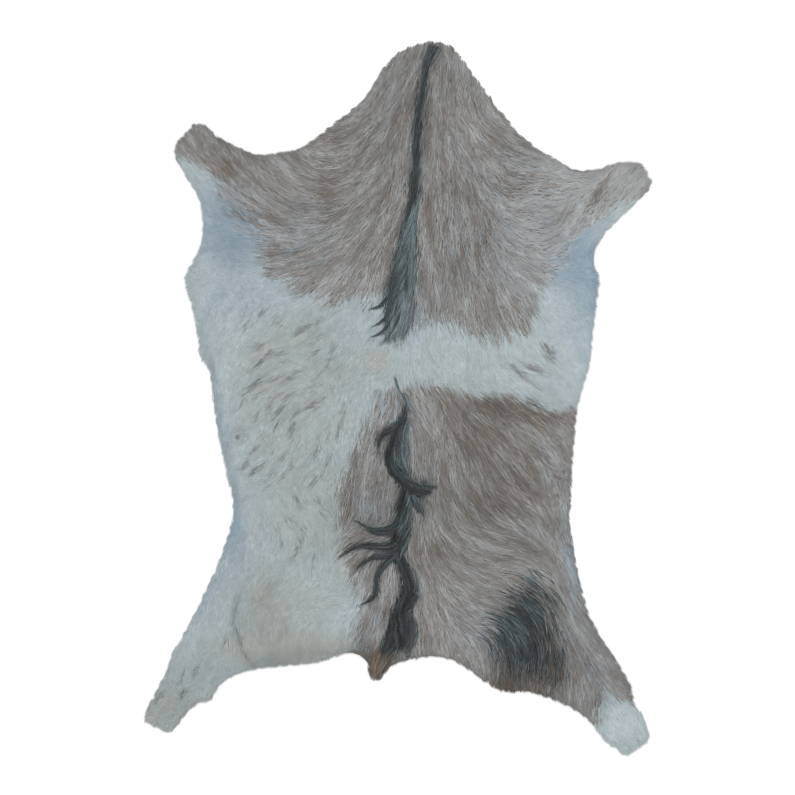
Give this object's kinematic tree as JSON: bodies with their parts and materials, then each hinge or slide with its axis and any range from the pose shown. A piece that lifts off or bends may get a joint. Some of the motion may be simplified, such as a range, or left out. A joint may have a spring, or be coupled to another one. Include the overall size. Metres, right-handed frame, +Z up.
{
  "type": "goatskin rug",
  "caption": "Whole goatskin laid flat as a rug, hair side up, with neck, four legs and tail in its outline and a dark mane along the back.",
  "frame": {"origin": "middle of the rug's outline box, on the floor under it", "axes": "+Y from the tail to the neck, +X to the right seen from above, +Z up out of the hair side"},
  "size_m": [0.7094, 0.9982, 0.0142],
  "materials": {
    "goat_hair": "lying hair, taupe roan and greyish white with a slate mane, soft low sheen",
    "tanned_skin": "suede flesh side, matt"
  },
  "bodies": {
    "root": {"goatskin": "goat_hair"}
  },
  "joints": []
}
